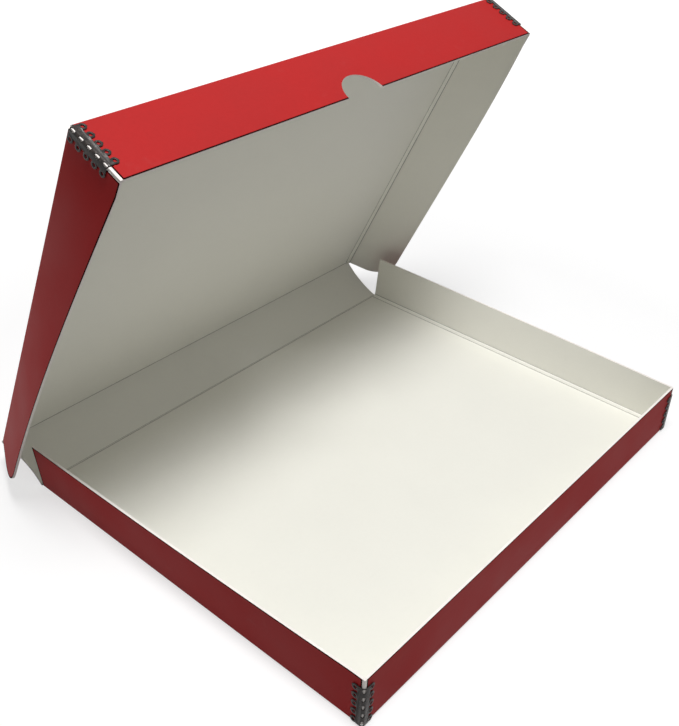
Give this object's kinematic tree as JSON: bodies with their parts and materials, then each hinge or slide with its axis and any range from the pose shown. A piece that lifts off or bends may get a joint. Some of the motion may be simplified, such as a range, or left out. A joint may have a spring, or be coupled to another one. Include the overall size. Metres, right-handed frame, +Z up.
{
  "type": "clamshell storage box",
  "caption": "Shallow clamshell storage box of creased board with metal-edged corners, a thumb notch and a hinged lid, standing open.",
  "frame": {"origin": "centre of the tray's underside: middle of its width, and midway from the front wall's outer face to the hinge crease", "axes": "+X along the hinge, to the right as seen from the front; -Y towards the front of the box; +Z up from the surface that the tray stands on"},
  "size_m": [0.4156, 0.3309, 0.2888],
  "materials": {
    "tray_board": "smooth red paper face outside, white paper face inside, pale core at the cut edges",
    "spine_board": "smooth red paper face outside, white paper face inside, pale core at the cut edges",
    "lid_board": "smooth red paper face outside, white paper face inside, pale core at the cut edges",
    "metal_edge": "thin black lacquer on stamped steel, worn to bare metal on the crowns"
  },
  "bodies": {
    "tray": {"tray_board": "tray_board", "tray_metal_edge_left": "metal_edge", "tray_metal_edge_right": "metal_edge"},
    "spine": {"spine_board": "spine_board"},
    "lid": {"lid_board": "lid_board", "lid_metal_edge_left": "metal_edge", "lid_metal_edge_right": "metal_edge"}
  },
  "joints": [
    {"name": "spine_fold", "type": "hinge", "parent": "tray", "child": "spine", "pos_m": [0, 0.146, 0.001], "axis": [1, 0, 0], "range_deg": [-28, 62]},
    {"name": "lid_fold", "type": "hinge", "parent": "spine", "child": "lid", "pos_m": [0, 0.18308, 0.02072], "axis": [1, 0, 0], "range_deg": [-87, 3]}
  ]
}
